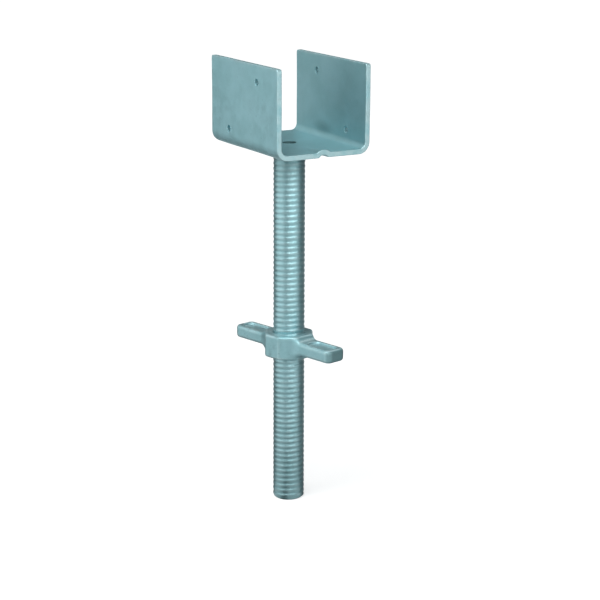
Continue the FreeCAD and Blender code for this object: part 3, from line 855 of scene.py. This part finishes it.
def smudges_and_shade():
    """Dark smudges from handling and storage, and darkening where the mask marks it: mostly painted shade,
    also a dark patch on the saddle and dirt at the weld's toes.
    """
    tree, given, made = new_group(
        "smudges_and_shade",
        {**SURFACE, "Darkening": "Color", "Amount": "Float", "Smudge scale": "Float", "Hollows": "Float"},
        SURFACE,
    )
    place = add_node(tree, "TexCoord")["Object"]
    mask = add_node(tree, "Attribute", attribute_name="shade_and_dirt")["Fac"]
    broad = add_noise(tree, place, given["Smudge scale"], detail=5.0, roughness=0.65, distortion=0.6)
    broad = add_range(tree, broad, low=0.54, high=0.72)
    speck_scale = add_math(tree, "MULTIPLY", given["Smudge scale"], SPECK_SCALE)
    specks = add_noise(tree, place, speck_scale, detail=2.0, roughness=0.5)
    specks = add_range(tree, specks, low=0.66, high=0.74)
    dark = add_math(tree, "MULTIPLY", add_math(tree, "MAXIMUM", broad, specks), given["Amount"])
    dark = add_math(tree, "MAXIMUM", dark, add_math(tree, "MULTIPLY", mask, given["Hollows"]))
    dry = add_math(tree, "MULTIPLY", dark, DIRT_ROUGH)
    feed(tree, made, {
        "Color": add_mix(tree, dark, given["Color"], given["Darkening"]),
        "Roughness": add_math(tree, "ADD", given["Roughness"], dry),
    })
    return tree


def place_group(tree, maker, values):
    """The outputs of a shared group, which has its maker's name and is made when it is first needed."""
    group = bpy.data.node_groups.get(maker.__name__) or maker()
    return add_node(tree, "Group", values, node_tree=group)


# Zinc finishes

class Finish(NamedTuple):
    """How zinc lies on a piece: bare metal, clear film, height of its grain, and the groups' values."""
    metal: float
    film: float
    grain_height: float
    coat: dict
    rub: dict
    smudge: dict


FILM_ROUGHNESS = 0.24

PLATE_FINISH = Finish(
    metal=0.84, film=0.1, grain_height=0.06 * MM,
    coat={"Cloud scale": 24.0, "Grain scale": 900.0, "Gloss": 0.54, "Gloss spread": 0.25},
    rub={"Amount": 0.6, "Patch scale": 60.0},
    smudge={"Amount": 0.12, "Smudge scale": 20.0, "Hollows": 0.9},
)
THREAD_FINISH = Finish(
    metal=0.85, film=0.6, grain_height=0.05 * MM,
    coat={"Cloud scale": 30.0, "Grain scale": 1100.0, "Gloss": 0.41, "Gloss spread": 0.2},
    rub={"Amount": 0.25, "Patch scale": 90.0},
    smudge={"Amount": 0.2, "Smudge scale": 35.0, "Hollows": 0.42},
)
WELD_FINISH = Finish(
    metal=0.7, film=0.2, grain_height=0.12 * MM,
    coat={"Cloud scale": 60.0, "Grain scale": 700.0, "Gloss": 0.45, "Gloss spread": 0.3},
    rub={"Amount": 0.5, "Patch scale": 120.0},
    smudge={"Amount": 0.8, "Smudge scale": 70.0, "Hollows": 0.8},
)
CASTING_FINISH = Finish(
    metal=0.7, film=0.4, grain_height=0.15 * MM,
    coat={"Cloud scale": 35.0, "Grain scale": 450.0, "Gloss": 0.5, "Gloss spread": 0.3},
    rub={"Amount": 0.8, "Patch scale": 70.0},
    smudge={"Amount": 0.35, "Smudge scale": 40.0, "Hollows": 0.62},
)


def zinc_material(name, zinc, bright, dull, finish):
    """Plated steel: clouded coat, rubbed edges with painted sheen, smudges with painted shade, and a fine
    grain.
    """
    material = bpy.data.materials.new(name)
    material.use_nodes = True
    tree = material.node_tree
    skin = place_group(tree, zinc_coat, {"Bright": opaque(bright), "Dull": opaque(dull), **finish.coat})
    edge = place_group(tree, rubbed_edges_and_sheen, {
        "Color": skin["Color"], "Roughness": skin["Roughness"], "Rubbed": opaque(zinc.rubbed), **finish.rub,
    })
    dirt = place_group(tree, smudges_and_shade, {
        "Color": edge["Color"], "Roughness": edge["Roughness"], "Darkening": opaque(zinc.stain), **finish.smudge,
    })
    bump = {"Strength": 1.0, "Distance": finish.grain_height, "Height": skin["Grain"]}
    grain = add_node(tree, "Bump", bump)["Normal"]
    feed(tree, tree.nodes["Principled BSDF"].inputs, {
        "Base Color": dirt["Color"], "Roughness": dirt["Roughness"], "Normal": grain,
        "Metallic": finish.metal, "Coat Weight": finish.film, "Coat Roughness": FILM_ROUGHNESS,
    })
    return material


# Stage

class Wall(NamedTuple):
    """A round pale part of the studio: its middle and how far out it fades, in degrees."""
    azimuth: float
    outer: float
    inner: float
    elevation: float = 0.0
    strength: float = 1.0


class Patch(NamedTuple):
    """A round patch of the floor, with its strength inside the inner and outside the outer radius."""
    middle: tuple
    inner: float
    outer: float
    near: float
    far: float = 1.0


class Softbox(NamedTuple):
    """A lamp aimed at the middle of the jack, by its direction in degrees."""
    name: str
    azimuth: float
    elevation: float
    distance: float
    size: tuple
    power: float


# What the plating mirrors: white sides to the left and in front, in the room and as a glow painted on the
# floor for mirrored rays
WHITE_WALLS = Wall(azimuth=-99.0, outer=46.0, inner=14.0), Wall(azimuth=7.0, outer=52.5, inner=20.0)
# A paler stretch of that painted glow on the floor behind, and how pale the floor's glow is between the
# walls
BACK_WALL = Wall(azimuth=145.0, outer=42.0, inner=12.0, strength=0.7)
DARK_FLOOR = 0.16
# Two windows in the room, and how white a strength of 1 is there. The product stops at white
RIGHT_WINDOW = Wall(azimuth=108.0, elevation=41.0, outer=31.0, inner=10.0, strength=3.0)
BACK_WINDOW = Wall(azimuth=-163.0, elevation=33.0, outer=28.0, inner=8.0, strength=1.2)
ROOM_WHITE = 0.36
# Painted shade in the floor's glow for mirrored rays, left of the jack and in front of it, and a pale patch
# painted on it
LEFT_SHADE = Patch(middle=(-0.15, 0.09, 0.0), inner=0.05, outer=0.5, near=0.48)
FRONT_SHADE = Patch(middle=(-0.02, -0.15, 0.0), inner=0.04, outer=0.18, near=0.5)
PAINTED_PALE_PATCH = Patch(middle=(-0.26, -0.24, 0.0), inner=0.08, outer=0.34, near=0.8, far=0.0)
# The white of the floor as the camera sees it, on top of the light that falls on it
WHITE_SHEET = Patch(middle=(0.0, 0.0, 0.0), inner=0.3, outer=1.6, near=0.66)
SOFTBOXES = (
    Softbox("left_softbox", azimuth=-104.0, elevation=22.0, distance=1.8, size=(2.8, 1.5), power=12.4),
    Softbox("front_softbox", azimuth=-10.0, elevation=24.0, distance=1.8, size=(2.3, 0.6), power=16.5),
    Softbox("top_softbox", azimuth=-65.0, elevation=68.0, distance=1.9, size=(1.3, 1.3), power=25.5),
)
FLOOR_HALF = 30.0
FLOOR_GAP = 0.2 * MM
SENSOR_WIDTH = 36.0


def outward(azimuth, elevation):
    """The direction from the jack at an azimuth from the front and a height angle, in radians."""
    level = math.cos(elevation)
    return Vector((math.sin(azimuth) * level, -math.cos(azimuth) * level, math.sin(elevation)))


def mirrored_rays(tree, path):
    """A mask of the rays that come by way of a shiny or a clear surface."""
    return add_math(tree, "MAXIMUM", path["Is Glossy Ray"], path["Is Transmission Ray"])


def wall_mask(tree, direction, walls):
    """How strong the walls are in a direction."""
    mask = 0.0
    for wall in walls:
        middle = outward(math.radians(wall.azimuth), math.radians(wall.elevation))
        facing = add_node(tree, "VectorMath", {0: direction, 1: middle}, operation="DOT_PRODUCT")["Value"]
        low, high = (math.cos(math.radians(edge)) for edge in (wall.outer, wall.inner))
        mask = add_math(tree, "MAXIMUM", mask, add_range(tree, facing, low, high, to_high=wall.strength))
    return mask


def patch_mask(tree, place, patch):
    """How strong a patch is at a place on the floor."""
    away = add_node(tree, "VectorMath", {0: place, 1: patch.middle}, operation="DISTANCE")["Value"]
    return add_range(tree, away, patch.inner, patch.outer, patch.near, patch.far)


def floor_material(stage):
    """A pale matt floor that shows as a white sheet with a soft shadow, and glows for mirrored rays with
    painted walls, shade and a pale patch.
    """
    material = bpy.data.materials.new("pale_floor")
    material.use_nodes = True
    tree = material.node_tree
    tree.nodes.clear()
    path = add_node(tree, "LightPath")
    place = add_node(tree, "TexCoord")["Object"]
    white = add_math(tree, "MULTIPLY", path["Is Camera Ray"], patch_mask(tree, place, WHITE_SHEET))
    sheet = add_node(tree, "Emission", {"Strength": white})["Emission"]
    matt = add_node(tree, "BsdfDiffuse", {"Color": opaque(stage.floor)})["BSDF"]
    lit = add_node(tree, "AddShader", {0: matt, 1: sheet})["Shader"]
    direction = add_node(tree, "VectorMath", {0: place}, operation="NORMALIZE")["Vector"]
    side = add_range(tree, wall_mask(tree, direction, (*WHITE_WALLS, BACK_WALL)), 0.0, 1.0, DARK_FLOOR)
    for shade in (LEFT_SHADE, FRONT_SHADE):
        side = add_math(tree, "MULTIPLY", side, patch_mask(tree, place, shade))
    side = add_math(tree, "MAXIMUM", side, patch_mask(tree, place, PAINTED_PALE_PATCH))
    mirror = add_node(tree, "Emission", {"Strength": side})["Emission"]
    either = add_node(tree, "MixShader", {"Fac": mirrored_rays(tree, path), 1: lit, 2: mirror})["Shader"]
    add_node(tree, "OutputMaterial", {"Surface": either})
    return material


def build_floor(stage):
    """A wide floor just below the jack."""
    sheet = bpy.data.meshes.new("floor")
    plane = bmesh.new()
    bmesh.ops.create_grid(plane, x_segments=1, y_segments=1, size=FLOOR_HALF)
    plane.to_mesh(sheet)
    plane.free()
    sheet.materials.append(floor_material(stage))
    floor = add_object("floor", sheet)
    floor.location.z = CAD_BOX[0][2] - FLOOR_GAP


def build_world(stage):
    """A dim room around the jack that shows as white behind it."""
    world = bpy.data.worlds.new("studio")
    bpy.context.scene.world = world
    world.use_nodes = True
    tree = world.node_tree
    tree.nodes.clear()
    path = add_node(tree, "LightPath")
    around = add_node(tree, "TexCoord")["Generated"]
    side = wall_mask(tree, around, (*WHITE_WALLS, RIGHT_WINDOW, BACK_WINDOW))
    side = add_math(tree, "MULTIPLY", side, ROOM_WHITE)
    mirrored = add_math(tree, "MULTIPLY", mirrored_rays(tree, path), side)
    seen = add_math(tree, "MAXIMUM", path["Is Camera Ray"], mirrored)
    room = add_node(tree, "Background", {"Color": opaque(stage.room)})["Background"]
    white = add_node(tree, "Background", {"Color": opaque((1.0, 1.0, 1.0))})["Background"]
    mix = add_node(tree, "MixShader", {"Fac": seen, 1: room, 2: white})["Shader"]
    add_node(tree, "OutputWorld", {"Surface": mix})


def add_softbox(softbox):
    """An area lamp aimed at the middle of the jack."""
    lamp = bpy.data.lights.new(softbox.name, "AREA")
    lamp.shape = "RECTANGLE"
    lamp.size, lamp.size_y = softbox.size
    lamp.energy = softbox.power
    holder = add_object(softbox.name, lamp)
    away = outward(math.radians(softbox.azimuth), math.radians(softbox.elevation))
    holder.location = Vector((0, 0, CAD_BOX[1][2] / 2)) + away * softbox.distance
    holder.rotation_euler = away.to_track_quat("Z", "Y").to_euler()


def build_camera(stage):
    """The camera at the photograph's angle."""
    camera = bpy.data.cameras.new("camera")
    camera.lens = stage.lens
    camera.sensor_width = SENSOR_WIDTH
    back = outward(stage.azimuth, stage.elevation)
    right = Vector((math.cos(stage.azimuth), math.sin(stage.azimuth), 0.0))
    axes = Matrix((right, back.cross(right), back)).transposed() @ Matrix.Rotation(stage.roll, 3, "Z")
    holder = add_object("camera", camera)
    holder.matrix_world = Matrix.Translation(Vector(stage.aim) + back * stage.distance) @ axes.to_4x4()
    bpy.context.scene.camera = holder


# Operators

class BuildSaddle(bpy.types.Operator):
    """Build the folded saddle"""
    bl_idname = "u_head_jack.build_saddle"
    bl_label = "Saddle"

    def execute(self, context):
        jack = context.scene.u_head_jack
        zinc = jack.zinc
        material = zinc_material("zinc_plate", zinc, zinc.sheet_bright, zinc.sheet_dull, PLATE_FINISH)
        finish_piece(build_saddle(jack.saddle), "u_head", "jack", material)
        return {"FINISHED"}


class BuildSpindle(bpy.types.Operator):
    """Build the threaded spindle"""
    bl_idname = "u_head_jack.build_spindle"
    bl_label = "Spindle"

    def execute(self, context):
        jack = context.scene.u_head_jack
        zinc = jack.zinc
        material = zinc_material("zinc_thread", zinc, zinc.bright, zinc.dull, THREAD_FINISH)
        finish_piece(build_spindle(jack.spindle), "spindle", "jack", material)
        return {"FINISHED"}


class BuildWeld(bpy.types.Operator):
    """Build the weld between spindle and saddle"""
    bl_idname = "u_head_jack.build_weld"
    bl_label = "Weld"

    def execute(self, context):
        jack = context.scene.u_head_jack
        zinc = jack.zinc
        material = zinc_material("zinc_weld", zinc, zinc.bright, zinc.dull, WELD_FINISH)
        weld = build_weld(jack.weld, jack.spindle.crest)
        finish_piece(weld, "weld_bead", "jack", material)
        return {"FINISHED"}


class BuildNut(bpy.types.Operator):
    """Build the cast wing nut"""
    bl_idname = "u_head_jack.build_nut"
    bl_label = "Wing nut"

    def execute(self, context):
        jack = context.scene.u_head_jack
        zinc = jack.zinc
        material = zinc_material("zinc_casting", zinc, zinc.bright, zinc.dull, CASTING_FINISH)
        nut = build_nut(jack.nut, jack.spindle)
        finish_piece(nut, "wing_nut", "nut", material)
        return {"FINISHED"}


class BuildStage(bpy.types.Operator):
    """Build the floor, world, lamps and camera"""
    bl_idname = "u_head_jack.build_stage"
    bl_label = "Stage"

    def execute(self, context):
        stage = context.scene.u_head_jack.stage
        build_floor(stage)
        build_world(stage)
        for softbox in SOFTBOXES:
            add_softbox(softbox)
        build_camera(stage)
        context.scene.view_settings.view_transform = "Standard"
        return {"FINISHED"}


class JackPanel(bpy.types.Panel):
    """Lists the jack's pieces, its stage and its zinc"""
    bl_idname = "VIEW3D_PT_u_head_jack"
    bl_label = "U-head jack"
    bl_space_type = "VIEW_3D"
    bl_region_type = "UI"
    bl_category = "U-head jack"

    def draw(self, context):
        jack = context.scene.u_head_jack
        groups = (
            (BuildSaddle, jack.saddle), (BuildSpindle, jack.spindle), (BuildWeld, jack.weld),
            (BuildNut, jack.nut), (BuildStage, jack.stage), (None, jack.zinc),
        )
        for operator, settings in groups:
            box = self.layout.box()
            if operator:
                box.operator(operator.bl_idname)
            for name in settings.__annotations__:
                box.prop(settings, name)


CLASSES = (
    SaddleSettings, SpindleSettings, WeldSettings, NutSettings, ZincSettings, StageSettings, JackSettings,
    BuildSaddle, BuildSpindle, BuildWeld, BuildNut, BuildStage, JackPanel,
)


def register():
    """Register the classes and hang the settings on the scene."""
    for kind in CLASSES:
        bpy.utils.register_class(kind)
    bpy.types.Scene.u_head_jack = PointerProperty(type=JackSettings)


def unregister():
    """Take the settings and the classes away again."""
    del bpy.types.Scene.u_head_jack
    for kind in reversed(CLASSES):
        bpy.utils.unregister_class(kind)


def main():
    """Build every piece and the stage."""
    register()
    bpy.ops.u_head_jack.build_saddle()
    bpy.ops.u_head_jack.build_spindle()
    bpy.ops.u_head_jack.build_weld()
    bpy.ops.u_head_jack.build_nut()
    bpy.ops.u_head_jack.build_stage()


if __name__ == "__main__":
    main()
